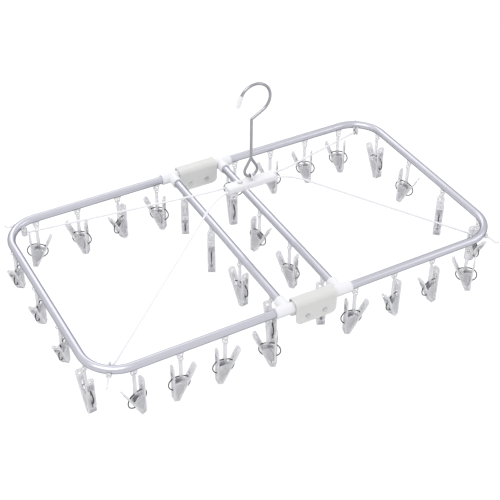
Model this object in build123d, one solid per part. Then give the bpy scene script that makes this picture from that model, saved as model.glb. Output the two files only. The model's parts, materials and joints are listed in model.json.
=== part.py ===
from build123d import *
import math
import os

# Folding clip drying hanger, in millimetres.
# It is drawn with z = 0 in the plane of the tubes and x = 0 at the fold, and
# every piece is moved at the end so that the origin is the hook's seat.

# ---- frame ----
frame_length = 658.0          # between the centre lines of the two short sides
frame_width = 364.0           # between the centre lines of the two long sides
corner_radius = 52.0          # centre line of a bent corner
tube_diameter = 12.0
tube_wall = 1.0
crossbar_x = 43.0             # crossbar centre line from the fold

# ---- hinge of the fold ----
pivot_x = 14.0                # hinge pins, each side of the middle
pivot_drop = 16.0             # hinge pins below the tube centre line
pin_diameter = 4.0
pin_clearance = 0.05          # radial, in the tee's eye
pin_head_diameter = 7.0
pin_head_height = 1.2
collar_radius = 8.5           # outside of a tee's sockets
collar_outer_x = 62.0         # where the socket for the long side ends
collar_inner_x = 32.0         # where that socket meets the hinge arm
socket_depth = 22.0           # tube length held in each socket
crossbar_collar_length = 21.0
arm_inner_x = 8.0
arm_thickness = 9.0
arm_top = 6.0
cover_half_length = 33.0
cover_gap = 0.5               # tee to cover, all round
cover_wall = 2.0
cover_drop = 27.0             # lower edge of the cover's side plates
cover_corner = 9.0

# ---- clip places ----
long_row_first = 72.0         # first clip on a long side, from the fold
long_row_pitch = 68.0
cross_row_pitch = 92.5
clips_each_way = 2            # clips of a crosswise row on each side of its middle
long_row_clips = 4

# ---- lugs under the tubes ----
lug_hole_drop = 13.0          # hole centre below the tube centre line
lug_hole_radius = 3.2
lug_rim = 1.6
lug_thickness = 1.4
lug_foot_width = 15.0

# ---- clip link ----
ring_radius = 4.0             # centre line of the link's eye
ring_wire = 1.8
ring_seam = 45.0               # keeps the eye's seam off the strap
strap_lap = 0.4                # strap past the middle of the eye's wire
strap_width = 5.0
strap_thickness = 2.0
spring_top_drop = 38.0        # top of the spring below the lug hole
barrel_diameter = 5.2
barrel_hole = 3.1             # lets the spring lean in it

# ---- clip spring ----
spring_wire = 1.6
spring_bend_radius = 12.5
spring_flat = 7.0             # straight length over the top
spring_end_angle = 82.0       # how far each side arc goes below the level

# ---- clip jaws ----
jaw_width = 12.5
jaw_drop = 79.0               # tip of a jaw below the lug hole
jaw_height = 61.0             # tip of a jaw to the end of its handle
jaw_splay = 13.0              # degrees, handle from the clip's middle line
jaw_tip_width = 4.0
jaw_wall = 2.2
bite_height = 10.0
bite_ramp = 4.0                # rise from the bite to the open part of the jaw
bite_gap = 0.3                # between the two biting faces
handle_round = 4.0
handle_hole = 4.2
handle_hole_inset = 6.0
slot_width = 2.8              # lets the spring through a jaw
upper_slot = 14.0
lower_slot = 13.0
flange_wall = 1.3
flange_gap = 0.4              # between the flanges of the two jaws
flange_height = 26.0
flange_foot = 6.0              # lower end of a flange above the jaw's tip
flange_bite_clear = 0.5        # flange above the other jaw's bite
flange_shoulder = 2.0          # a flange's crown falls this much at its free end
flange_crown = 44.5            # crown of a flange below the lug hole
flange_reach = 4.6            # past the middle line
fulcrum_drop = 55.0
fulcrum_diameter = 3.0
fulcrum_clearance = 0.08

# ---- hub ----
hub_height = 88.0             # hub centre line above the tube plane
hub_length = 80.0
hub_width = 17.0
hub_depth = 11.0
hub_round = 3.0
hub_eye_radius = 4.8          # centre line of the eye on top
hub_eye_wire = 2.6
hub_eye_centre = 10.5         # above the hub centre line
cord_slot_length = 9.0
cord_slot_gap = 0.8           # each side of the cord

# ---- cords ----
cord_diameter = 3.0
cord_inset = 6.0              # cord end inside the hub's end
cord_hub_y = 5.0
cord_level_x = 60.0           # where a cord starts to slope
cord_level_y = 7.0
cord_level_drop = 1.0
cord_low_x = 300.0            # where a cord meets its corner anchor
cord_low_y = 165.0
cord_low_z = -8.0

# ---- corner anchors ----
anchor_eye_radius = 4.6
anchor_eye_floor = 1.4
anchor_shank = 3.6
anchor_foot_diameter = 8.0
anchor_foot_height = 3.0
anchor_tail_length = 14.0
anchor_tail_diameter = 2.6
anchor_reach = 1.0             # shank past the tube wall, each end
anchor_rise = -2.8             # shank's height from the tube plane
anchor_neck = 0.3              # shank's start behind the cord's slot
foot_seat = 1.6                # foot under the tube's outer surface
tail_fall = 7.7                # outer tail drops this much
tail_tip_run = 4.0
tail_tip_rise = 3.0

# ---- hook ----
hook_wire = 4.2
hook_radius = 24.0            # centre line of the hook's arc
hook_offset = 5.5             # arc centre from the stem
hook_centre_height = 227.0    # arc centre above the tube plane
hook_leave_angle = 60.0       # where the arc runs into the straight to the stem
hook_tip_angle = 160.0
stem_foot = 131.0
loop_radius = 10.4            # the closed loop that carries the hub
loop_clearance = 0.2          # wire to the top of the hub's eye
cap_diameter = 6.4
cap_length = 16.0
cap_cover = 3.0               # bare wire covered before the tip

tube_radius = tube_diameter / 2
half_width = frame_width / 2
seat_height = hook_centre_height + hook_radius - hook_wire / 2
ORIGIN = Vector(hook_offset, 0, seat_height)

long_rows = {"near": -1, "far": 1}
halves = {"left": -1, "right": 1}

# Each clip hangs turned (degrees about the vertical) and tips to one side or the
# other on its link, as free clips do. Long sides count outwards from the fold,
# crosswise rows from the near side to the far side.
long_yaws = {
    ("near", "left"): (-41, -6, -4, 15),
    ("near", "right"): (-14, 20, 7, -44),
    ("far", "left"): (-45, 27, -42, -20),
    ("far", "right"): (-36, -40, -42, -44),
}
long_leans = {
    ("near", "left"): (-1, 1, 1, -1),
    ("near", "right"): (1, -1, -1, -1),
    ("far", "left"): (-1, -1, -1, 1),
    ("far", "right"): (1, -1, -1, -1),
}
cross_yaws = {
    ("side", "left"): (95, 50, 50, 52),
    ("crossbar", "left"): (75, 102, 63, 64),
    ("crossbar", "right"): (65, 118, 111, 78),
    ("side", "right"): (86, 50, 118, 95),
}
cross_leans = {
    ("side", "left"): (1, -1, -1, -1),
    ("crossbar", "left"): (1, 1, 1, -1),
    ("crossbar", "right"): (1, 1, -1, 1),
    ("side", "right"): (-1, 1, -1, 1),
}
lean_angle = 13.0


def save(name, shape):
    """Write one sub-part, moved so that the origin is the hook's seat."""
    export_step(Pos(-ORIGIN) * shape, "parts/" + name + ".step")


def rod(start, end, radius):
    """Round bar between two points."""
    axis = Vector(end) - Vector(start)
    plane = Plane(origin=start, z_dir=axis)
    return extrude(plane * Circle(radius), axis.length)


def plate(outline, y_from, y_to):
    """Flat plate from a side view: the outline's x and y become X and Z."""
    plane = Plane(origin=(0, y_to, 0), x_dir=(1, 0, 0), z_dir=(0, -1, 0))
    return extrude(plane * outline, y_to - y_from, dir=(0, -1, 0))


def solids_of(*shapes):
    """Group of separate solids."""
    return Compound([solid for shape in shapes for solid in shape.solids()])


# ---------------------------------------------------------------- frame

def half_line():
    """Centre line of the right half's bent tube."""
    start_x = collar_inner_x + socket_depth / 2
    end_x = frame_length / 2
    points = [
        (start_x, -half_width, 0),
        (end_x, -half_width, 0),
        (end_x, half_width, 0),
        (start_x, half_width, 0),
    ]
    return FilletPolyline(*points, radius=corner_radius)


def swept_tube(line, radius):
    return sweep(Plane(origin=line @ 0, z_dir=line % 0) * Circle(radius), path=line)


def frame_tube():
    """Bent aluminium tube with drilled corners for the cord anchors."""
    line = half_line()
    tube = swept_tube(line, tube_radius) - swept_tube(line, tube_radius - tube_wall)
    for row in long_rows.values():
        tube -= anchor_shank_rod(row)
    return tube


def crossbar():
    """Straight tube between the two tees of a half."""
    reach = half_width - collar_radius
    start = (crossbar_x, -reach, 0)
    end = (crossbar_x, reach, 0)
    return rod(start, end, tube_radius) - rod(start, end, tube_radius - tube_wall)


def tee_joint(row):
    """Moulded tee: socket for the long side, socket for the crossbar, hinge arm."""
    y = row * half_width
    inner_y = row * (half_width - crossbar_collar_length)
    body = rod((collar_inner_x, y, 0), (collar_outer_x, y, 0), collar_radius)
    body += rod((crossbar_x, y, 0), (crossbar_x, inner_y, 0), collar_radius)
    body += hinge_arm(y)
    start_x = collar_inner_x + socket_depth / 2
    body -= rod((start_x, y, 0), (collar_outer_x + 1, y, 0), tube_radius)
    bar_end = row * (half_width - collar_radius)
    body -= rod((crossbar_x, bar_end, 0), (crossbar_x, inner_y - row, 0), tube_radius)
    return body


def hinge_arm(y):
    """Arm that drops from the socket to the hinge pin."""
    eye_radius = pivot_x - arm_inner_x
    outline = Polygon(
        (pivot_x + eye_radius, -pivot_drop),
        (collar_inner_x + 4, -tube_radius),
        (collar_inner_x + 4, arm_top),
        (arm_inner_x, arm_top),
        (arm_inner_x, -pivot_drop),
        align=None,
    )
    low, high = y - arm_thickness / 2, y + arm_thickness / 2
    eye = rod((pivot_x, low, -pivot_drop), (pivot_x, high, -pivot_drop), eye_radius)
    hole_radius = pin_diameter / 2 + pin_clearance
    hole = rod((pivot_x, low - 1, -pivot_drop), (pivot_x, high + 1, -pivot_drop), hole_radius)
    return plate(outline, low, high) + eye - hole


def hinge_link(row):
    """Cover over the fold: a channel, open below, with two side plates."""
    y = row * half_width
    inside = collar_radius + cover_gap
    outside = inside + cover_wall
    height = outside + cover_drop
    block = Pos(0, y, outside - height / 2) * Box(2 * cover_half_length, 2 * outside, height)
    lower = [e for e in block.edges().filter_by(Axis.Y) if e.center().Z < -pivot_drop]
    block = fillet(lower, cover_corner)
    upper = [e for e in block.edges().filter_by(Axis.X) if e.center().Z > 0]
    block = fillet(upper, outside * 0.6)
    channel = Pos(0, y, inside - height / 2) * Box(2 * cover_half_length + 2, 2 * inside, height)
    rounded = [e for e in channel.edges().filter_by(Axis.X) if e.center().Z > 0]
    block -= fillet(rounded, inside * 0.6)
    for side in halves.values():
        x = side * pivot_x
        block -= rod((x, y - outside, -pivot_drop), (x, y + outside, -pivot_drop), pin_diameter / 2)
    return block


def hinge_pin(side, row):
    """Headed pin through a cover's plates and one tee arm."""
    x = side * pivot_x
    y = row * half_width
    outside = collar_radius + cover_gap + cover_wall
    pin = rod((x, y - outside, -pivot_drop), (x, y + outside, -pivot_drop), pin_diameter / 2)
    for end in (-1, 1):
        face = y + end * outside
        head_end = face + end * pin_head_height
        pin += rod((x, face, -pivot_drop), (x, head_end, -pivot_drop), pin_head_diameter / 2)
    return pin


# ---------------------------------------------------------------- clip places

def long_spots(side):
    """Lug hole of each long-side clip of a half, from the fold outwards."""
    return [side * (long_row_first + long_row_pitch * k) for k in range(long_row_clips)]


def cross_spots():
    """Places along a crosswise row, from the near side to the far side."""
    steps = range(-clips_each_way, clips_each_way)
    return [(k + 0.5) * cross_row_pitch for k in steps]


def side_x_at(y):
    """Centre line of the short side at a place along it, where the corner may have begun."""
    past = max(0.0, abs(y) - (half_width - corner_radius))
    inward = corner_radius - math.sqrt(corner_radius ** 2 - past ** 2)
    return frame_length / 2 - inward


def lug():
    """Flat lug along X, its hole at the origin."""
    rise = lug_hole_drop
    outer = lug_hole_radius + lug_rim
    outline = Circle(outer) + Polygon(
        (-outer, 0),
        (outer, 0),
        (lug_foot_width / 2, rise),
        (-lug_foot_width / 2, rise),
        align=None,
    )
    outline -= Circle(lug_hole_radius)
    return plate(outline, -lug_thickness / 2, lug_thickness / 2)


def lugs(side):
    """All the lugs of one half, seated on their tubes."""
    reach = frame_length / 2 + 2 * tube_radius
    pieces = []
    for row in long_rows.values():
        y = row * half_width
        seat = rod((0, y, 0), (side * reach, y, 0), tube_radius)
        for x in long_spots(side):
            pieces.append(Pos(x, y, -lug_hole_drop) * lug() - seat)
    turned = Rot(0, 0, 90) * lug()
    bar_seat = rod((side * crossbar_x, -half_width, 0), (side * crossbar_x, half_width, 0), tube_radius)
    for y in cross_spots():
        pieces.append(Pos(side * crossbar_x, y, -lug_hole_drop) * turned - bar_seat)
    side_seat = half_solid_tube(side)
    for y in cross_spots():
        pieces.append(Pos(side * side_x_at(y), y, -lug_hole_drop) * turned - side_seat)
    return solids_of(*pieces)


def half_solid_tube(side):
    tube = swept_tube(half_line(), tube_radius)
    return tube if side > 0 else mirror(tube, Plane.YZ)


# ---------------------------------------------------------------- clips

def link(ring_turn):
    """Eye, strap and barrel. The lug hole is the origin and the clip spreads along X."""
    upright = Rot(0, 0, ring_turn) * Rot(0, 90, 0) * Rot(0, 0, ring_seam)
    ring = Pos(0, 0, -ring_radius) * upright * Torus(ring_radius, ring_wire / 2)
    top = strap_lap - 2 * ring_radius
    length = spring_top_drop + top
    strap = Pos(0, 0, top - length / 2) * Box(strap_width, strap_thickness, length)
    barrel = rod(
        (-strap_width / 2, 0, -spring_top_drop),
        (strap_width / 2, 0, -spring_top_drop),
        barrel_diameter / 2,
    )
    hole = rod(
        (-strap_width, 0, -spring_top_drop),
        (strap_width, 0, -spring_top_drop),
        barrel_hole / 2,
    )
    return ring + strap + barrel - hole


def spring():
    """Open ring of wire round both jaws, in the clip's middle plane."""
    centre_z = -spring_top_drop - spring_bend_radius
    plane = Plane(origin=(0, 0, centre_z), x_dir=(1, 0, 0), z_dir=(0, -1, 0))
    left = CenterArc(
        (-spring_flat / 2, 0), spring_bend_radius, 180 + spring_end_angle, -90 - spring_end_angle
    )
    top = Line((-spring_flat / 2, spring_bend_radius), (spring_flat / 2, spring_bend_radius))
    right = CenterArc((spring_flat / 2, 0), spring_bend_radius, 90, -90 - spring_end_angle)
    line = plane * Wire([left, top, right])
    section = Plane(origin=line @ 0, z_dir=line % 0) * Circle(spring_wire / 2)
    return sweep(section, path=line, transition=Transition.RIGHT)


def jaw_outline():
    """Side view of the left jaw: biting tip, wall and handle."""
    run = math.tan(math.radians(jaw_splay))
    inset = jaw_wall / math.cos(math.radians(jaw_splay))
    top = -jaw_drop + jaw_height
    bite_top = -jaw_drop + bite_height
    return Polygon(
        (-bite_gap / 2, -jaw_drop),
        (-jaw_tip_width, -jaw_drop),
        (-jaw_tip_width - jaw_height * run, top),
        (-jaw_tip_width - jaw_height * run + inset, top),
        (-jaw_tip_width - (bite_height + bite_ramp) * run + inset, bite_top + bite_ramp),
        (-bite_gap / 2, bite_top),
        align=None,
    )


def flange_outline():
    """Side view of a jaw's flange, fan shaped, past the middle line."""
    run = math.tan(math.radians(jaw_splay))
    low = -jaw_drop + flange_foot
    high = low + flange_height
    wall_low = -jaw_tip_width - (low + jaw_drop) * run
    wall_high = -jaw_tip_width - (high + jaw_drop) * run
    return Polygon(
        (wall_low + jaw_wall / 2, low),
        (-bite_gap, low),
        (-bite_gap, -jaw_drop + bite_height + flange_bite_clear),
        (flange_reach, -fulcrum_drop - flange_reach),
        (flange_reach, -fulcrum_drop + flange_reach),
        (flange_reach - flange_shoulder / 2, -flange_crown - flange_shoulder),
        (flange_reach - 2 * flange_shoulder, -flange_crown),
        (-2 * flange_shoulder, -flange_crown),
        (wall_high + jaw_wall / 2, high),
        align=None,
    )


def jaw(fixed):
    """Left jaw. The fixed one has the outer flanges and the fulcrum studs."""
    body = plate(jaw_outline(), -jaw_width / 2, jaw_width / 2)
    top = -jaw_drop + jaw_height
    tips = [e for e in body.edges() if e.length < 2 * jaw_wall and abs(e.center().Z - top) < 0.5]
    tips = [e for e in tips if abs(e.center().Y) > jaw_width / 2 - 0.1]
    body = fillet(tips, handle_round)
    outer = jaw_width / 2 if fixed else jaw_width / 2 - flange_wall - flange_gap
    inner = outer - flange_wall
    for side in (-1, 1):
        low, high = sorted((side * inner, side * outer))
        body += plate(flange_outline(), low, high)
    run = math.tan(math.radians(jaw_splay))
    hole_z = top - handle_hole_inset
    hole_x = -jaw_tip_width - (hole_z + jaw_drop) * run
    body -= Pos(hole_x, 0, hole_z) * Rot(0, 90, 0) * Cylinder(handle_hole / 2, 4 * jaw_wall)
    body -= spring_slots()
    stud = fulcrum_diameter / 2 + (0 if fixed else fulcrum_clearance)
    deep = jaw_width / 2 - 2 * flange_wall - flange_gap
    if fixed:
        for side in (-1, 1):
            body += rod((0, side * deep, -fulcrum_drop), (0, side * outer, -fulcrum_drop), stud)
    else:
        body -= rod((0, -jaw_width, -fulcrum_drop), (0, jaw_width, -fulcrum_drop), stud)
    return body


def spring_slots():
    """Slots in a jaw's wall where the spring goes through and where its end bears."""
    centre_z = -spring_top_drop - spring_bend_radius
    run = math.tan(math.radians(jaw_splay))
    upper_z = centre_z + 0.8 * spring_bend_radius
    upper_x = -jaw_tip_width - (upper_z + jaw_drop) * run
    lower_z = centre_z - spring_bend_radius
    lower_x = -jaw_tip_width - (lower_z + jaw_drop) * run
    upper = Pos(upper_x, 0, upper_z) * Box(6 * jaw_wall, slot_width, upper_slot)
    lower = Pos(lower_x, 0, lower_z) * Box(6 * jaw_wall, slot_width, lower_slot)
    return upper + lower


fixed_jaw = jaw(True)
moving_jaw = mirror(jaw(False), Plane.YZ)
clip_spring = spring()


def folded_yaw(yaw):
    """Yaw a long-side clip takes when the frame is folded, spread along Y."""
    return -90 if yaw < 0 else 90


def long_link(yaw):
    """Link whose eye swings equally to both sides of square to its lug."""
    return link(-(yaw + folded_yaw(yaw)) / 2)


def hung(shape, x, y, yaw):
    """Piece of a clip, moved from the clip's own frame to its lug."""
    return Pos(x, y, -lug_hole_drop) * Rot(0, 0, yaw) * shape


def leaned(shape, lean):
    """Jaws and spring tip over on the barrel of the link, to one side or the other."""
    lean_pose = Pos(0, 0, -spring_top_drop) * Rot(0, lean * lean_angle, 0) * Pos(0, 0, spring_top_drop)
    return lean_pose * shape


def cross_clips(kind, half):
    """Links and jaws of one crosswise row, and its springs."""
    clips = []
    springs = []
    side = halves[half]
    spots = zip(cross_spots(), cross_yaws[kind, half], cross_leans[kind, half])
    for y, yaw, lean in spots:
        reach = crossbar_x if kind == "crossbar" else side_x_at(max(cross_spots()))
        x = side * reach
        eye = link(90 - yaw)
        parts = [hung(eye, x, y, yaw)]
        parts += [hung(leaned(part, lean), x, y, yaw) for part in (fixed_jaw, moving_jaw)]
        clips.append(solids_of(*parts))
        springs.append(hung(leaned(clip_spring, lean), x, y, yaw))
    return solids_of(*clips), solids_of(*springs)


# ---------------------------------------------------------------- hub, cords and anchors

def hub():
    """White bar with an eye on top and a slot at each end for every cord."""
    body = Box(hub_length, hub_width, hub_depth)
    body = fillet(body.edges(), hub_round)
    eye_plane = Plane(origin=(0, 0, hub_eye_centre), x_dir=(0, 1, 0), z_dir=(1, 0, 0))
    eye_line = eye_plane * CenterArc((0, 0), hub_eye_radius, 0, 360)
    section = Plane(origin=eye_line @ 0, z_dir=eye_line % 0) * Circle(hub_eye_wire / 2)
    body += sweep(section, path=eye_line)
    slot_width_y = cord_diameter + 2 * cord_slot_gap
    slot_depth = hub_depth / 2 + cord_diameter / 2 + cord_slot_gap
    for side in halves.values():
        for row in long_rows.values():
            slot_x = side * (hub_length / 2 - cord_slot_length / 2)
            top = cord_diameter / 2 + cord_slot_gap
            slot = Box(cord_slot_length + 0.02, slot_width_y, slot_depth)
            body -= Pos(slot_x, row * cord_hub_y, top - slot_depth / 2) * slot
    return Pos(0, 0, hub_height) * body


def cord(side, row):
    """Cord from the hub to a corner anchor: level out of the hub, then straight and taut."""
    points = [
        (side * (hub_length / 2 - cord_inset), row * cord_hub_y, hub_height),
        (side * cord_level_x, row * cord_level_y, hub_height - cord_level_drop),
        (side * cord_low_x, row * cord_low_y, cord_low_z),
    ]
    first = Vector(points[1]) - Vector(points[0])
    second = Vector(points[2]) - Vector(points[1])
    turn = math.radians(first.get_angle(second))
    bend = 0.45 * min(first.length, second.length) / math.tan(turn / 2)
    line = FilletPolyline(*points, radius=bend)
    print("cord", side, row, "length", round(line.length, 1), "bend radius", round(bend, 1))
    return swept_tube(line, cord_diameter / 2)


def anchor_axis():
    """Level direction from the corner's bend centre through its anchor."""
    centre_x = frame_length / 2 - corner_radius
    centre_y = half_width - corner_radius
    return Vector(cord_low_x - centre_x, cord_low_y - centre_y, 0).normalized()


def anchor_points():
    """Inner end and outer end of an anchor's shank, in the far right corner."""
    centre = Vector(frame_length / 2 - corner_radius, half_width - corner_radius, 0)
    axis = anchor_axis()
    middle = centre + axis * corner_radius
    inner = middle - axis * (tube_radius + anchor_reach) + Vector(0, 0, anchor_rise)
    outer = middle + axis * (tube_radius + anchor_reach) + Vector(0, 0, anchor_rise)
    return inner, outer


def anchor_shank_rod(row):
    inner, outer = anchor_points()
    if row < 0:
        inner = Vector(inner.X, -inner.Y, inner.Z)
        outer = Vector(outer.X, -outer.Y, outer.Z)
    return rod(inner, outer, anchor_shank / 2)


def anchor():
    """Far right corner anchor: open eye for the cord, shank, foot and short hooked tail."""
    inner, outer = anchor_points()
    axis = anchor_axis()
    line = half_line()
    gap = cord_diameter + 2 * cord_slot_gap
    floor_z = cord_low_z - gap / 2
    eye_low = floor_z - anchor_eye_floor
    eye_height = inner.Z + anchor_shank / 2 + anchor_eye_floor - eye_low
    eye = Pos(cord_low_x, cord_low_y, eye_low + eye_height / 2) * Cylinder(anchor_eye_radius, eye_height)
    slot_way = math.degrees(math.atan2(cord_low_y - cord_level_y, cord_low_x - cord_level_x))
    slot = Pos(gap / 2 - anchor_eye_radius, 0, eye_height / 2) * Box(2 * anchor_eye_radius, gap, eye_height)
    eye -= Pos(cord_low_x, cord_low_y, floor_z) * Rot(0, 0, slot_way) * slot
    foot_base = outer - axis * foot_seat
    foot_end = foot_base + axis * (anchor_foot_height + anchor_reach)
    foot = rod(foot_base, foot_end, anchor_foot_diameter / 2)
    drop = Vector(0, 0, -tail_fall)
    tail_low = foot_end + axis * anchor_tail_length + drop
    tail_tip = tail_low + axis * tail_tip_run + Vector(0, 0, tail_tip_rise)
    tail_line = FilletPolyline(foot_end - axis, tail_low, tail_tip, radius=anchor_tail_diameter)
    tail = swept_tube(tail_line, anchor_tail_diameter / 2)
    seated = foot - swept_tube(line, tube_radius)
    neck_start = Vector(cord_low_x, cord_low_y, inner.Z) + axis * (gap / 2 + anchor_neck)
    return eye + rod(neck_start, foot_end - axis * anchor_neck, anchor_shank / 2) + seated + tail


# ---------------------------------------------------------------- hook

def hook_line():
    """Centre line of the hook wire, from its tip to the end of the closed loop."""
    centre = Vector(hook_offset, hook_centre_height)
    sweep_angle = hook_tip_angle + hook_leave_angle
    arc = CenterArc(centre, hook_radius, hook_tip_angle, -sweep_angle)
    leave = arc @ 1
    heading = arc % 1
    kink = leave + heading * (leave.X / -heading.X)
    loop_z = loop_bottom() + loop_radius
    spread = math.acos(loop_radius / (stem_foot - loop_z))
    touch = Vector(-loop_radius * math.sin(spread), loop_z + loop_radius * math.cos(spread))
    straight = FilletPolyline(leave, kink, (0, stem_foot), touch, radius=3.2)
    start = 90 + math.degrees(spread)
    loop = CenterArc((0, loop_z), loop_radius, start, 360 - 2 * math.degrees(spread))
    flat = Wire([arc, *straight.edges(), loop])
    return Plane.XZ * flat


def loop_closing_leg():
    """Straight from the end of the loop back to the stem, where it is welded."""
    end = hook_line() @ 1
    return rod(end, (0, 0, stem_foot), hook_wire / 2)


def loop_bottom():
    """Centre line of the wire where the hub's eye hangs on it."""
    eye_top = hub_height + hub_eye_centre + hub_eye_radius - hub_eye_wire / 2
    return eye_top - loop_clearance - hook_wire / 2


def hook():
    line = hook_line()
    section = Plane(origin=line @ 0, z_dir=line % 0) * Circle(hook_wire / 2)
    wire = sweep(section, path=line, transition=Transition.RIGHT)
    return wire + loop_closing_leg()


def cap_axis():
    """Where the hook's tip ends and the way it points."""
    angle = math.radians(hook_tip_angle)
    tip = Vector(hook_offset + hook_radius * math.cos(angle), 0,
                 hook_centre_height + hook_radius * math.sin(angle))
    way = Vector(-math.sin(angle), 0, math.cos(angle))
    return tip, way


def tip_cap():
    """Soft cap pushed over the tip of the wire."""
    tip, way = cap_axis()
    body = rod(tip - way * cap_cover, tip + way * (cap_length - cap_diameter / 2), cap_diameter / 2)
    body += Pos(tip + way * (cap_length - cap_diameter / 2)) * Sphere(cap_diameter / 2)
    return body - hook()


# ---------------------------------------------------------------- write every piece

def mirrored(shape, half):
    return shape if half == "right" else mirror(shape, Plane.YZ)


def main():
    os.makedirs("parts", exist_ok=True)
    save("hook_wire", hook())
    save("hook_tip_cap", tip_cap())
    save("hub_bar", hub())
    for row_name, row in long_rows.items():
        save("hinge_cover_" + row_name, hinge_link(row))
    pins = [hinge_pin(side, row) for side in halves.values() for row in long_rows.values()]
    save("hinge_pins", solids_of(*pins))
    tube = frame_tube()
    tees = solids_of(*[tee_joint(row) for row in long_rows.values()])
    corner = anchor()
    anchors = solids_of(corner, mirror(corner, Plane.XZ))
    for half, side in halves.items():
        save("frame_tube_" + half, mirrored(tube, half))
        save("crossbar_" + half, mirrored(crossbar(), half))
        save("tee_joints_" + half, mirrored(tees, half))
        save("cord_anchors_" + half, mirrored(anchors, half))
        save("clip_lugs_" + half, lugs(side))
        for row_name, row in long_rows.items():
            save("cord_" + row_name + "_" + half, cord(side, row))
            spots = zip(long_spots(side), long_yaws[row_name, half], long_leans[row_name, half])
            for number, (x, yaw, lean) in enumerate(spots, 1):
                y = row * half_width
                tag = "_" + row_name + "_" + half + "_" + str(number)
                held = [long_link(yaw), leaned(fixed_jaw, lean), leaned(clip_spring, lean)]
                save("clip" + tag, solids_of(*[hung(part, x, y, yaw) for part in held]))
                save("jaw" + tag, hung(leaned(moving_jaw, lean), x, y, yaw))
        for kind in ("side", "crossbar"):
            clips, springs = cross_clips(kind, half)
            save("clips_" + kind + "_" + half, clips)
            save("springs_" + kind + "_" + half, springs)


main()
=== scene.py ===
"""Clip drying hanger: finishes, cords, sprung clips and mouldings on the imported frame."""

import json
import math

import bmesh
import bpy
from bpy.props import FloatProperty, IntProperty, PointerProperty, StringProperty
from mathutils import Matrix, Vector


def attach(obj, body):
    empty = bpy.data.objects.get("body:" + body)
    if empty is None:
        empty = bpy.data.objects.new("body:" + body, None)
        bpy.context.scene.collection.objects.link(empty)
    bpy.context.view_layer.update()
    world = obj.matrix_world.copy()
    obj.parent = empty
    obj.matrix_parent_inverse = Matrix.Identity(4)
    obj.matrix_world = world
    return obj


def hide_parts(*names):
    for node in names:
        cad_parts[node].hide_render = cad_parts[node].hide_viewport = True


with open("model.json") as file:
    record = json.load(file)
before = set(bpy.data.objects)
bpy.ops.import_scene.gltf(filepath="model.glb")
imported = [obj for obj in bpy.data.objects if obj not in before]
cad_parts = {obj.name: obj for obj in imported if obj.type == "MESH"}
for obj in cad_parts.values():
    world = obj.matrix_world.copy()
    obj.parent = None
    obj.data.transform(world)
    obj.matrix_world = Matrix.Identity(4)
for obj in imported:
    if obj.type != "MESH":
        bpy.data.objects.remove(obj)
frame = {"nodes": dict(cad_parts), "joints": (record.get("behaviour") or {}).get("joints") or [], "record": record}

bl_info = {
    "name": "Clip drying hanger",
    "version": (1, 0, 0),
    "blender": (4, 5, 0),
    "location": "View3D > Sidebar > Hanger",
    "description": "Builds the visible pieces of a folding clip drying hanger",
    "category": "Add Mesh",
}

# The hook's seat is the origin. Heights below are from the plane of the tubes, under the seat.
SEAT = Vector((0.0055, 0.0, 0.2489))
LUG_HOLE_Z = -0.013
LONG_SIDE_Y = 0.182
CROSSBAR_X = 0.043
CROSS_Y = (-0.13875, -0.04625, 0.04625, 0.13875)
# Turn in degrees, and lean, of each clip on the short sides and crossbars, from near to far.
CROSS_YAWS = {
    ("side", "left"): (95, 50, 50, 52),
    ("crossbar", "left"): (75, 102, 63, 64),
    ("crossbar", "right"): (65, 118, 111, 78),
    ("side", "right"): (86, 50, 118, 95),
}
CROSS_LEANS = {
    ("side", "left"): (1, -1, -1, -1),
    ("crossbar", "left"): (1, 1, 1, -1),
    ("crossbar", "right"): (1, 1, -1, 1),
    ("side", "right"): (-1, 1, -1, 1),
}
HALVES = {"left": -1, "right": 1}
ROWS = {"near": -1, "far": 1}

# A clip, measured down from its lug hole and out from its middle line.
LEAN = math.radians(13.0)
SPLAY = math.radians(13.0)
SPRING_TOP = 0.038
SPRING_TALLEST = 0.032
JAW_TIP = 0.079
JAW_FACE = 0.004
GRIP_FOOT = 0.038
BITE_FOOT = 0.0775
BITE_RIBS = 3
BITE_PITCH = 0.0024
FLIP = Matrix.Rotation(math.pi, 4, "Z")

# The hub bar, and how far a button is sunk into what it sits on.
BAR_LEVEL = 0.088
BAR_HALF_HEIGHT = 0.0055
BAR_FRONT = -0.0085
RIVET_X = -0.018
BOSS_X = -0.010
BUTTON_SINK = 0.0003

# A socket's bead on the tees.
COLLAR_X = 0.0613
COLLAR_PITCH = 0.03
COLLAR_RADIUS = 0.0082
COLLAR_BEAD = 0.0006

FLOOR_LEVEL = -0.95
FLOOR_HALF = 6.0

# Noise in cycles per metre. The marks are coarser than the real grain, so that they show.
METAL_GRAIN = 900.0  # 1.1 mm
DRAWN_GRAIN = 700.0  # 1.4 mm
FROST_GRAIN = 520.0  # 1.9 mm
MOULD_GRAIN = 420.0  # 2.4 mm
FLOOR_GRAIN = 30.0  # 33 mm
BROAD_SHARE = 18  # slow variation in colour is this much larger than the grain


# ---------------------------------------------------------------- sizes and colours


class HangerClipSettings(bpy.types.PropertyGroup):
    """Sizes of the clips' moulded detail."""

    rib_count: IntProperty(name="Grip ribs", description="Ribs across each handle", default=5, min=0, max=12)
    rib_pitch: FloatProperty(
        name="Rib pitch", description="Between two grip ribs", default=0.0021, unit="LENGTH"
    )
    rib_radius: FloatProperty(
        name="Rib radius", description="Half the thickness of a rib", default=0.00045, unit="LENGTH"
    )
    rib_length: FloatProperty(
        name="Rib length", description="Length across the handle", default=0.0092, unit="LENGTH"
    )
    edge: FloatProperty(
        name="Edge rounding", description="Radius on moulded edges", default=0.00035, unit="LENGTH"
    )


class HangerCordSettings(bpy.types.PropertyGroup):
    """Size of the suspension cords."""

    diameter: FloatProperty(
        name="Cord diameter", description="Thickness of each cord", default=0.003, unit="LENGTH"
    )


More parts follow.
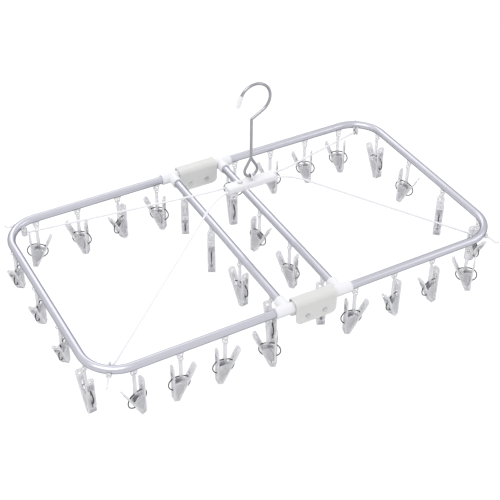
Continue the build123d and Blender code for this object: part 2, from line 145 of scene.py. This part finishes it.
class HangerColours(bpy.types.PropertyGroup):
    """Colours of the finishes, as sRGB hex."""

    tube: StringProperty(name="Tube", description="Satin anodised aluminium", default="#C8C8D1")
    hook: StringProperty(name="Hook", description="Bright hook wire", default="#A6A6AB")
    spring: StringProperty(name="Spring", description="Dark spring wire", default="#1C1C18")
    pin: StringProperty(name="Pin", description="Hinge pins", default="#C9C9CC")
    white: StringProperty(name="White", description="Opaque white mouldings", default="#DCDCE0")
    milky: StringProperty(name="Milky", description="Frosted translucent mouldings", default="#E4E4EA")
    cover: StringProperty(name="Cover", description="Hinge covers", default="#D6D6D5")
    cord: StringProperty(name="Cord", description="Suspension cords", default="#DEDEE2")
    floor: StringProperty(name="Floor", description="Plain pale floor", default="#F7F7F8")


def linear(hex_colour):
    """sRGB hex to the linear colour a shader socket takes."""
    values = [int(hex_colour[i : i + 2], 16) / 255 for i in (1, 3, 5)]
    return tuple(v / 12.92 if v <= 0.04045 else ((v + 0.055) / 1.055) ** 2.4 for v in values) + (1.0,)


# ---------------------------------------------------------------- finishes


def add(tree, kind, inputs=None, **settings):
    """New node with its settings and constant inputs."""
    node = tree.nodes.new(kind)
    for name, value in settings.items():
        setattr(node, name, value)
    for name, value in (inputs or {}).items():
        node.inputs[name].default_value = value
    return node


def finish(name, colour, rough, grain, painted_underside_shade=1.0, **surface):
    """Procedural material. grain is (scale, bump distance, roughness swing, tint swing).

    The fifth argument scales down the colour of faces that look down when the hanger is open: painted shade on the
    underside, set by the object-space normal."""
    if name in bpy.data.materials:
        return bpy.data.materials[name]
    scale, bump, swing, tint = grain
    material = bpy.data.materials.new(name)
    material.use_nodes = True
    tree = material.node_tree
    tree.nodes.clear()
    link = tree.links.new
    out = add(tree, "ShaderNodeOutputMaterial")
    shader = add(tree, "ShaderNodeBsdfPrincipled", surface)
    where = add(tree, "ShaderNodeTexCoord")
    fine = add(tree, "ShaderNodeTexNoise", {"Scale": scale, "Detail": 4.0})
    broad = add(tree, "ShaderNodeTexNoise", {"Scale": scale / BROAD_SHARE, "Detail": 2.0})
    rough_map = add(
        tree, "ShaderNodeMapRange", {"To Min": max(0.02, rough - swing), "To Max": rough + swing}
    )
    base = linear(colour)
    shade = tuple(c * (1 - tint) for c in base[:3]) + (1.0,)
    mix = add(tree, "ShaderNodeMix", data_type="RGBA")
    mix.inputs[6].default_value = shade
    mix.inputs[7].default_value = base
    relief = add(tree, "ShaderNodeBump", {"Strength": 0.5, "Distance": bump})
    link(where.outputs["Object"], fine.inputs["Vector"])
    link(where.outputs["Object"], broad.inputs["Vector"])
    link(fine.outputs["Fac"], rough_map.inputs["Value"])
    link(broad.outputs["Fac"], mix.inputs["Factor"])
    link(fine.outputs["Fac"], relief.inputs["Height"])
    link(rough_map.outputs["Result"], shader.inputs["Roughness"])
    # Painted shade: faces whose object-space normal points down are darkened, reaching the given fraction of their
    # colour once the normal's Z is -0.55 or lower. It stands in for the shade under the parts.
    split = add(tree, "ShaderNodeSeparateXYZ")
    painted_shade_by_facing = add(tree, "ShaderNodeMapRange", {"From Min": -0.55, "From Max": 0.05, "To Min": painted_underside_shade})
    with_painted_shade = add(tree, "ShaderNodeVectorMath", operation="SCALE")
    link(where.outputs["Normal"], split.inputs["Vector"])
    link(split.outputs["Z"], painted_shade_by_facing.inputs["Value"])
    link(mix.outputs[2], with_painted_shade.inputs[0])
    link(painted_shade_by_facing.outputs["Result"], with_painted_shade.inputs["Scale"])
    link(with_painted_shade.outputs["Vector"], shader.inputs["Base Color"])
    link(relief.outputs["Normal"], shader.inputs["Normal"])
    link(shader.outputs["BSDF"], out.inputs["Surface"])
    return material


def pale(weight, depth, **more):
    """Shader settings of a pale plastic that light soaks into, evenly in every colour."""
    settings = {"Subsurface Weight": weight, "Subsurface Scale": depth}
    settings["Subsurface Radius"] = (1.0, 1.0, 1.0)
    settings.update(more)
    return settings


def finishes():
    """Every finish of the hanger, by the record's material slot."""
    c = bpy.context.scene.hanger_colours
    rim = {"Metallic": 1.0, "Specular Tint": (0.25, 0.25, 0.29, 1.0)}
    # The number after the grain, where given, is painted shade on down-facing faces of the tube, hook, white
    # mouldings, covers, clips and cords: the fraction of their colour those faces keep.
    return {
        # Drawn and anodised: an even satin whose edges reflect less than bare metal.
        "satin_aluminium": finish(
            "Satin anodised aluminium", c.tube, 0.3, (METAL_GRAIN, 2e-6, 0.06, 0.05), 0.45, **rim
        ),
        # Drawn and plated: brighter and smoother than the tubes.
        "polished_steel": finish(
            "Bright plated steel", c.hook, 0.16, (DRAWN_GRAIN, 1e-6, 0.05, 0.08), 0.5, Metallic=1.0
        ),
        # Tempered and oiled: nearly black, with a soft shine.
        "spring_steel": finish(
            "Dark oiled spring steel", c.spring, 0.36, (METAL_GRAIN, 2e-6, 0.08, 0.25), Metallic=0.5
        ),
        # Cut from rod: plain grey ends.
        "pin_steel": finish(
            "Satin steel pin", c.pin, 0.32, (METAL_GRAIN, 2e-6, 0.06, 0.1), Metallic=1.0
        ),
        # Moulded: smooth and opaque.
        "white_plastic": finish(
            "Opaque white polypropylene",
            c.white,
            0.34,
            (MOULD_GRAIN, 5e-6, 0.05, 0.03),
            0.7,
            **pale(0.12, 0.002, IOR=1.49),
        ),
        # Dipped: duller and softer than the mouldings.
        "soft_white_cap": finish(
            "Soft white vinyl", c.white, 0.5, (MOULD_GRAIN, 8e-6, 0.06, 0.03), **pale(0.15, 0.002)
        ),
        # Moulded thin: light passes a little way in.
        "milky_cover": finish(
            "Milky moulded polypropylene",
            c.cover,
            0.38,
            (MOULD_GRAIN, 5e-6, 0.05, 0.04),
            0.8,
            **pale(0.3, 0.004, **{"Transmission Weight": 0.12}),
        ),
        # Moulded thin in a frosted tool: light spreads through the walls.
        "milky_plastic": finish(
            "Frosted translucent polypropylene",
            c.milky,
            0.42,
            (FROST_GRAIN, 6e-6, 0.06, 0.05),
            0.9,
            **pale(0.75, 0.012, **{"Transmission Weight": 0.3}),
        ),
        # Extruded over thread: soft and even.
        "cord_white": finish(
            "White vinyl cord", c.cord, 0.42, (DRAWN_GRAIN, 8e-6, 0.06, 0.03), 0.7, **pale(0.15, 0.002)
        ),
    }


def smooth(mesh, angle=35.0):
    """Smooth shading, with sharp edges kept above the angle."""
    mesh.shade_smooth()
    mesh.set_sharp_from_angle(angle=math.radians(angle))


def new_piece(name, mesh, body, slot, replaced=()):
    """Object at the origin, riding on a body, in the finish of one material slot."""
    piece = bpy.data.objects.new(name, mesh)
    bpy.context.scene.collection.objects.link(piece)
    if not mesh.materials:
        mesh.materials.append(finishes()[slot])
    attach(piece, body)
    if replaced:
        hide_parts(*replaced)
    return piece


def plain_mesh(obj):
    """The object's evaluated shape as a plain mesh, with the object removed."""
    bpy.context.view_layer.update()
    graph = bpy.context.evaluated_depsgraph_get()
    mesh = bpy.data.meshes.new_from_object(obj.evaluated_get(graph), depsgraph=graph)
    bpy.data.objects.remove(obj)
    return mesh


def joined(name, parts):
    """One mesh from (mesh, matrix) pairs."""
    whole = bmesh.new()
    for mesh, matrix in parts:
        copy = mesh.copy()
        copy.transform(matrix)
        whole.from_mesh(copy)
        bpy.data.meshes.remove(copy)
    mesh = bpy.data.meshes.new(name)
    whole.to_mesh(mesh)
    whole.free()
    return mesh


def joined_piece(name, parts, body, slot, replaced=(), angle=35.0):
    """One piece joined from (mesh, matrix) pairs, in the finish of one material slot."""
    mesh = joined(name, parts)
    mesh.materials.append(finishes()[slot])
    smooth(mesh, angle)
    return new_piece(name, mesh, body, slot, replaced)


# ---------------------------------------------------------------- repeated detail


def socket_id(group, name):
    """Identifier of a named input of a node group."""
    return next(
        item.identifier
        for item in group.interface.items_tree
        if item.item_type == "SOCKET" and item.in_out == "INPUT" and item.name == name
    )


def repeated(name, group, values):
    """Plain mesh made by a node group with the given inputs."""
    obj = bpy.data.objects.new(name, bpy.data.meshes.new(name))
    bpy.context.scene.collection.objects.link(obj)
    modifier = obj.modifiers.new("Repeat", "NODES")
    modifier.node_group = group
    for key, value in values.items():
        modifier[socket_id(group, key)] = value
    return plain_mesh(obj)


def new_group(name, inputs):
    """Geometry node group with named inputs: (name, socket kind, default)."""
    group = bpy.data.node_groups.new(name, "GeometryNodeTree")
    for label, kind, default in inputs:
        socket = group.interface.new_socket(name=label, in_out="INPUT", socket_type=kind)
        if default is not None:
            socket.default_value = default
    group.interface.new_socket(name="Geometry", in_out="OUTPUT", socket_type="NodeSocketGeometry")
    return group


def close_group(group, instances):
    """Realize the instances, set the material and end the tree."""
    source = next(n for n in group.nodes if n.bl_idname == "NodeGroupInput")
    real = add(group, "GeometryNodeRealizeInstances")
    paint = add(group, "GeometryNodeSetMaterial")
    out = add(group, "NodeGroupOutput")
    group.links.new(instances, real.inputs["Geometry"])
    group.links.new(real.outputs["Geometry"], paint.inputs["Geometry"])
    group.links.new(source.outputs["Material"], paint.inputs["Material"])
    group.links.new(paint.outputs["Geometry"], out.inputs["Geometry"])


def rib_group():
    """Row of round ribs along Y, repeated up Z from the origin."""
    if "Moulded ribs" in bpy.data.node_groups:
        return bpy.data.node_groups["Moulded ribs"]
    group = new_group(
        "Moulded ribs",
        [
            ("Count", "NodeSocketInt", 5),
            ("Pitch", "NodeSocketFloat", 0.002),
            ("Length", "NodeSocketFloat", 0.009),
            ("Radius", "NodeSocketFloat", 0.0005),
            ("Material", "NodeSocketMaterial", None),
        ],
    )
    source = add(group, "NodeGroupInput")
    step = add(group, "ShaderNodeCombineXYZ")
    line = add(group, "GeometryNodeMeshLine")
    rib = add(group, "GeometryNodeMeshCylinder", {"Vertices": 12})
    turn = add(group, "GeometryNodeTransform", {"Rotation": (math.pi / 2, 0.0, 0.0)})
    spread = add(group, "GeometryNodeInstanceOnPoints")
    link = group.links.new
    link(source.outputs["Pitch"], step.inputs["Z"])
    link(source.outputs["Count"], line.inputs["Count"])
    link(step.outputs["Vector"], line.inputs["Offset"])
    link(source.outputs["Radius"], rib.inputs["Radius"])
    link(source.outputs["Length"], rib.inputs["Depth"])
    link(rib.outputs["Mesh"], turn.inputs["Geometry"])
    link(line.outputs["Mesh"], spread.inputs["Points"])
    link(turn.outputs["Geometry"], spread.inputs["Instance"])
    close_group(group, spread.outputs["Instances"])
    return group


def ring_group():
    """Rounded rings about X, repeated along X from the origin."""
    if "Collar rims" in bpy.data.node_groups:
        return bpy.data.node_groups["Collar rims"]
    group = new_group(
        "Collar rims",
        [
            ("Count", "NodeSocketInt", 2),
            ("Pitch", "NodeSocketFloat", 0.03),
            ("Radius", "NodeSocketFloat", 0.0083),
            ("Bead", "NodeSocketFloat", 0.0006),
            ("Material", "NodeSocketMaterial", None),
        ],
    )
    source = add(group, "NodeGroupInput")
    step = add(group, "ShaderNodeCombineXYZ")
    line = add(group, "GeometryNodeMeshLine")
    circle = add(group, "GeometryNodeCurvePrimitiveCircle", {"Resolution": 64})
    bead = add(group, "GeometryNodeCurvePrimitiveCircle", {"Resolution": 12})
    tube = add(group, "GeometryNodeCurveToMesh")
    turn = add(group, "GeometryNodeTransform", {"Rotation": (0.0, math.pi / 2, 0.0)})
    spread = add(group, "GeometryNodeInstanceOnPoints")
    link = group.links.new
    link(source.outputs["Pitch"], step.inputs["X"])
    link(source.outputs["Count"], line.inputs["Count"])
    link(step.outputs["Vector"], line.inputs["Offset"])
    link(source.outputs["Radius"], circle.inputs["Radius"])
    link(source.outputs["Bead"], bead.inputs["Radius"])
    link(circle.outputs["Curve"], tube.inputs["Curve"])
    link(bead.outputs["Curve"], tube.inputs["Profile Curve"])
    link(tube.outputs["Mesh"], turn.inputs["Geometry"])
    link(line.outputs["Mesh"], spread.inputs["Points"])
    link(turn.outputs["Geometry"], spread.inputs["Instance"])
    close_group(group, spread.outputs["Instances"])
    return group


# ---------------------------------------------------------------- clips


def joint(name):
    """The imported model's joint of that name."""
    return next(j for j in frame["joints"] if j["name"] == name)


def clip_matrix(x, y, yaw, lean):
    """Clip's own frame, with the lug hole as its origin, to the hanger's frame."""
    hung = Matrix.Translation(Vector((x, y, LUG_HOLE_Z)) - SEAT) @ Matrix.Rotation(yaw, 4, "Z")
    up = Matrix.Translation((0, 0, SPRING_TOP))
    down = Matrix.Translation((0, 0, -SPRING_TOP))
    return hung @ down @ Matrix.Rotation(lean * LEAN, 4, "Y") @ up


def long_clip_matrix(tag):
    """Frame of one long-side clip, from its two joints."""
    swing = joint("swing_" + tag)
    opening = joint("open_" + tag)
    yaw = math.atan2(opening["axis"][0], -opening["axis"][1])
    offset = Vector(opening["pos_m"]) - Vector(swing["pos_m"])
    along = offset.x * math.cos(yaw) + offset.y * math.sin(yaw)
    hole = Vector(swing["pos_m"]) + SEAT
    return clip_matrix(hole.x, hole.y, yaw, -1 if along > 0 else 1)


def moulded_parts(node):
    """The separate solids of a CAD node, welded and with rounded edges."""
    edge = bpy.context.scene.hanger_clips.edge
    whole = bmesh.new()
    whole.from_mesh(frame["nodes"][node].data)
    bmesh.ops.remove_doubles(whole, verts=whole.verts, dist=1e-6)
    bmesh.ops.dissolve_limit(whole, angle_limit=math.radians(0.8), verts=whole.verts, edges=whole.edges)
    unseen = set(whole.verts)
    islands = []
    while unseen:
        stack = [next(iter(unseen))]
        island = set(stack)
        while stack:
            for e in stack.pop().link_edges:
                for v in e.verts:
                    if v not in island:
                        island.add(v)
                        stack.append(v)
        unseen -= island
        islands.append(island)
    parts = []
    for island in islands:
        part = bmesh.new()
        copies = {v: part.verts.new(v.co) for v in sorted(island, key=lambda v: v.index)}
        for f in whole.faces:
            if f.verts[0] in island:
                part.faces.new([copies[v] for v in f.verts])
        mesh = bpy.data.meshes.new(node + "_part")
        part.to_mesh(mesh)
        part.free()
        obj = bpy.data.objects.new(node + "_part", mesh)
        bpy.context.scene.collection.objects.link(obj)
        bevel = obj.modifiers.new("Rounding", "BEVEL")
        bevel.width = edge
        bevel.segments = 2
        bevel.limit_method = "ANGLE"
        bevel.angle_limit = math.radians(40)
        bevel.use_clamp_overlap = True
        part = plain_mesh(obj)
        smooth(part)
        parts.append(part)
    whole.free()
    return parts


def is_wire(mesh):
    """Whether a part is a spring, which is shorter than a jaw or a link."""
    heights = [v.co.z for v in mesh.vertices]
    return max(heights) - min(heights) < SPRING_TALLEST


def ribs(name, count, pitch):
    """Row of ribs up Z from the origin, as long and thick as the settings say."""
    s = bpy.context.scene.hanger_clips
    values = {"Count": count, "Pitch": pitch, "Length": s.rib_length, "Radius": s.rib_radius}
    values["Material"] = finishes()["milky_plastic"]
    return repeated(name, rib_group(), values)


def jaw_ribs(name):
    """Grip ribs on the handle and ridges above the bite, on the left jaw of a clip."""
    s = bpy.context.scene.hanger_clips
    face = JAW_FACE + (JAW_TIP - GRIP_FOOT) * math.tan(SPLAY)
    grip = Matrix.Translation((-face, 0, -GRIP_FOOT)) @ Matrix.Rotation(-SPLAY, 4, "Y")
    bite = Matrix.Translation((-JAW_FACE, 0, -BITE_FOOT))
    parts = [(ribs("handle_ribs", s.rib_count, s.rib_pitch), grip)]
    parts.append((ribs("bite_ribs", BITE_RIBS, BITE_PITCH), bite))
    return joined(name, parts)


def add_long_clips():
    """Each long-side clip's held jaw with its link, its spring and its moving jaw."""
    detail = jaw_ribs("jaw_ribs")
    for half in HALVES:
        for row in ROWS:
            for number in range(1, 5):
                tag = row + "_" + half + "_" + str(number)
                clip = "clip_" + tag
                jaw = "jaw_" + tag
                place = long_clip_matrix(tag)
                parts = moulded_parts(clip)
                held = [(p, Matrix()) for p in parts if not is_wire(p)] + [(detail, place)]
                wire = [(p, Matrix()) for p in parts if is_wire(p)]
                free = [(p, Matrix()) for p in moulded_parts(jaw)] + [(detail, place @ FLIP)]
                joined_piece("held_jaw_" + tag, held, clip, "milky_plastic", [clip])
                joined_piece("spring_" + tag, wire, clip, "spring_steel", angle=60.0)
                joined_piece("free_jaw_" + tag, free, jaw, "milky_plastic", [jaw])


def add_cross_clips():
    """The clips of the short sides and crossbars, one piece for each row."""
    detail = jaw_ribs("row_ribs")
    for (kind, half), yaws in CROSS_YAWS.items():
        node = "clips_" + kind + "_" + half
        x = HALVES[half] * CROSSBAR_X
        if kind == "side":
            x = joint("swing_side_" + half)["pos_m"][0] + SEAT.x
        parts = [(p, Matrix()) for p in moulded_parts(node)]
        for y, yaw, lean in zip(CROSS_Y, yaws, CROSS_LEANS[kind, half]):
            place = clip_matrix(x, y, math.radians(yaw), lean)
            parts.append((detail, place))
            parts.append((detail, place @ FLIP))
        joined_piece("row_" + kind + "_" + half, parts, node, "milky_plastic", [node])


# ---------------------------------------------------------------- cords and mouldings


def cord_points(side, row):
    """Points of one cord, from the hub to its corner anchor."""
    level = -0.1619
    return [
        Vector((side * 0.034 - SEAT.x, row * 0.005, -0.1609)),
        Vector((side * 0.060 - SEAT.x, row * 0.007, level)),
        Vector((side * 0.110 - SEAT.x, row * 0.0399, level - 0.0198)),
        Vector((side * 0.300 - SEAT.x, row * 0.165, -0.2569)),
    ]


def add_cords():
    """The four cords from the hub to the corners."""
    diameter = bpy.context.scene.hanger_cords.diameter
    for half, side in HALVES.items():
        for name, row in ROWS.items():
            tag = name + "_" + half
            points = cord_points(side, row)
            curve = bpy.data.curves.new("hanging_cord_" + tag, "CURVE")
            curve.dimensions = "3D"
            curve.bevel_depth = diameter / 2
            curve.bevel_resolution = 5
            curve.resolution_u = 24
            curve.use_fill_caps = True
            spline = curve.splines.new("NURBS")
            spline.points.add(len(points) - 1)
            for point, place in zip(spline.points, points):
                point.co = (*place, 1.0)
            spline.order_u = 3
            spline.use_endpoint_u = True
            curve.materials.append(finishes()["cord_white"])
            piece = bpy.data.objects.new("hanging_cord_" + tag, curve)
            bpy.context.scene.collection.objects.link(piece)
            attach(piece, "cord_" + tag)
            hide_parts("cord_" + tag)


def button(radius, height, dish):
    """Round moulded button on the XY plane with a soft edge and a dished top."""
    rim = 0.25 * height
    profile = [
        (radius, 0.0),
        (radius, height - rim),
        (radius - rim * 0.3, height - rim * 0.3),
        (radius - rim, height),
        (radius * 0.62, height),
        (radius * 0.5, height - dish),
        (0.0, height - dish),
    ]
    shape = bmesh.new()
    line = [shape.verts.new((r, 0, z)) for r, z in profile]
    edges = [shape.edges.new(pair) for pair in zip(line, line[1:])]
    bmesh.ops.spin(
        shape, geom=line + edges, cent=(0, 0, 0), axis=(0, 0, 1), angle=math.tau, steps=40, use_merge=True
    )
    bmesh.ops.remove_doubles(shape, verts=shape.verts, dist=1e-6)
    bmesh.ops.recalc_face_normals(shape, faces=shape.faces)
    mesh = bpy.data.meshes.new("button")
    shape.to_mesh(mesh)
    shape.free()
    return mesh


def add_hub_detail():
    """Rivet on the hub's top and boss on its front."""
    hub_x = -SEAT.x
    level = BAR_LEVEL - SEAT.z
    rivet = button(0.0034, 0.0022, 0.0004)
    rivet.transform(Matrix.Translation((hub_x + RIVET_X, 0, level + BAR_HALF_HEIGHT - BUTTON_SINK)))
    smooth(rivet)
    new_piece("hub_rivet", rivet, "hub", "pin_steel")
    boss = button(0.0042, 0.0016, 0.0006)
    turn = Matrix.Rotation(math.pi / 2, 4, "X")
    boss.transform(Matrix.Translation((hub_x + BOSS_X, BAR_FRONT + BUTTON_SINK, level)) @ turn)
    smooth(boss)
    new_piece("hub_boss", boss, "hub", "white_plastic")


def add_collar_rims():
    """Beads round the ends of the tees' sockets, on each half."""
    values = {"Count": 1, "Pitch": COLLAR_PITCH, "Radius": COLLAR_RADIUS, "Bead": COLLAR_BEAD}
    values["Material"] = finishes()["white_plastic"]
    for half, side in HALVES.items():
        parts = []
        for row in ROWS.values():
            mesh = repeated("collar_rims", ring_group(), values)
            place = Vector((side * COLLAR_X, row * LONG_SIDE_Y, 0)) - SEAT
            parts.append((mesh, Matrix.Translation(place)))
        joined_piece("collar_rims_" + half, parts, "half_" + half, "white_plastic", angle=60.0)


def paint_frame():
    """The finish of every CAD node that stays."""
    slots = {s["node"]: s["material_slot"] for s in frame["record"]["subparts"]}
    looks = finishes()
    for name, node in frame["nodes"].items():
        if node.hide_render:
            continue
        node.data.materials.clear()
        node.data.materials.append(looks[slots[name]])


# ---------------------------------------------------------------- stage


def camera_matrix():
    """Camera's place and turn, in the hanger's frame."""
    azimuth = math.radians(29.476)
    down = math.radians(38.756)
    roll = math.radians(0.699)
    ahead = Vector(
        (
            math.sin(azimuth) * math.cos(down),
            math.cos(azimuth) * math.cos(down),
            -math.sin(down),
        )
    )
    level = Vector((math.cos(azimuth), -math.sin(azimuth), 0))
    up = level.cross(ahead)
    right = math.cos(roll) * level + math.sin(roll) * up
    above = -math.sin(roll) * level + math.cos(roll) * up
    turn = Matrix((right, above, -ahead)).transposed().to_4x4()
    return Matrix.Translation((-0.65096, -1.14224, 0.76498)) @ turn


def area_light(name, place, target, size, watts):
    """Soft rectangular light aimed at a point."""
    data = bpy.data.lights.new(name, "AREA")
    data.shape = "RECTANGLE"
    data.size = size
    data.size_y = size * 0.7
    data.energy = watts
    light = bpy.data.objects.new(name, data)
    light.location = place
    light.rotation_euler = (Vector(target) - Vector(place)).to_track_quat("-Z", "Y").to_euler()
    bpy.context.scene.collection.objects.link(light)


def add_stage():
    """Plain pale floor, soft lights and the camera."""
    colours = bpy.context.scene.hanger_colours
    shape = bmesh.new()
    bmesh.ops.create_grid(shape, x_segments=2, y_segments=2, size=FLOOR_HALF)
    mesh = bpy.data.meshes.new("floor")
    shape.to_mesh(mesh)
    shape.free()
    mesh.transform(Matrix.Translation((0, 0, FLOOR_LEVEL)))
    grain = (FLOOR_GRAIN, 1e-5, 0.03, 0.01)
    mesh.materials.append(finish("Pale matt floor", colours.floor, 0.9, grain))
    floor = bpy.data.objects.new("floor", mesh)
    bpy.context.scene.collection.objects.link(floor)
    world = bpy.data.worlds.new("Soft studio")
    world.use_nodes = True
    background = world.node_tree.nodes["Background"]
    background.inputs["Color"].default_value = linear("#FFFFFF")
    background.inputs["Strength"].default_value = 1.0
    bpy.context.scene.world = world
    middle = (0, 0, -0.2)
    area_light("Key light", (-0.9, -0.5, 1.5), middle, 1.6, 13)
    area_light("Fill light", (1.6, -0.9, 0.9), middle, 1.4, 4)
    area_light("Back light", (0.3, 1.7, 1.1), middle, 1.6, 6)
    bpy.context.scene.view_settings.view_transform = "Standard"
    data = bpy.data.cameras.new("Camera")
    data.sensor_width = 36.0
    data.lens = 78.71
    data.clip_start = 0.05
    camera = bpy.data.objects.new("Camera", data)
    camera.matrix_world = camera_matrix()
    bpy.context.scene.collection.objects.link(camera)
    bpy.context.scene.camera = camera


# ---------------------------------------------------------------- operators and panel


class HANGER_OT_clips(bpy.types.Operator):
    """Build the sprung clips with their ribs and springs"""

    bl_idname = "hanger.clips"
    bl_label = "Clips"

    def execute(self, context):
        add_long_clips()
        add_cross_clips()
        return {"FINISHED"}


class HANGER_OT_cords(bpy.types.Operator):
    """Build the four suspension cords"""

    bl_idname = "hanger.cords"
    bl_label = "Cords"

    def execute(self, context):
        add_cords()
        return {"FINISHED"}


class HANGER_OT_mouldings(bpy.types.Operator):
    """Build the small mouldings on the hub and the tees"""

    bl_idname = "hanger.mouldings"
    bl_label = "Mouldings"

    def execute(self, context):
        add_hub_detail()
        add_collar_rims()
        return {"FINISHED"}


class HANGER_OT_finishes(bpy.types.Operator):
    """Give every remaining part of the frame its finish"""

    bl_idname = "hanger.finishes"
    bl_label = "Finishes"

    def execute(self, context):
        paint_frame()
        return {"FINISHED"}


class HANGER_OT_stage(bpy.types.Operator):
    """Build the floor, the lights and the camera"""

    bl_idname = "hanger.stage"
    bl_label = "Stage"

    def execute(self, context):
        add_stage()
        return {"FINISHED"}


class HANGER_PT_panel(bpy.types.Panel):
    """Sizes, colours and the steps that build the hanger"""

    bl_label = "Drying hanger"
    bl_idname = "HANGER_PT_panel"
    bl_space_type = "VIEW_3D"
    bl_region_type = "UI"
    bl_category = "Hanger"

    def draw(self, context):
        for group in (context.scene.hanger_clips, context.scene.hanger_cords, context.scene.hanger_colours):
            for key in group.__annotations__:
                self.layout.prop(group, key)
        for operator in OPERATORS:
            self.layout.operator(operator.bl_idname)


OPERATORS = (HANGER_OT_clips, HANGER_OT_cords, HANGER_OT_mouldings, HANGER_OT_finishes, HANGER_OT_stage)
CLASSES = (HangerClipSettings, HangerCordSettings, HangerColours, *OPERATORS, HANGER_PT_panel)


def register():
    for item in CLASSES:
        bpy.utils.register_class(item)
    bpy.types.Scene.hanger_clips = PointerProperty(type=HangerClipSettings)
    bpy.types.Scene.hanger_cords = PointerProperty(type=HangerCordSettings)
    bpy.types.Scene.hanger_colours = PointerProperty(type=HangerColours)


def unregister():
    del bpy.types.Scene.hanger_colours
    del bpy.types.Scene.hanger_cords
    del bpy.types.Scene.hanger_clips
    for item in reversed(CLASSES):
        bpy.utils.unregister_class(item)


def main():
    """Build everything in order."""
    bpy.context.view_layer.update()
    register()
    bpy.ops.hanger.clips()
    bpy.ops.hanger.cords()
    bpy.ops.hanger.mouldings()
    bpy.ops.hanger.finishes()
    bpy.ops.hanger.stage()


if __name__ == "__main__":
    main()
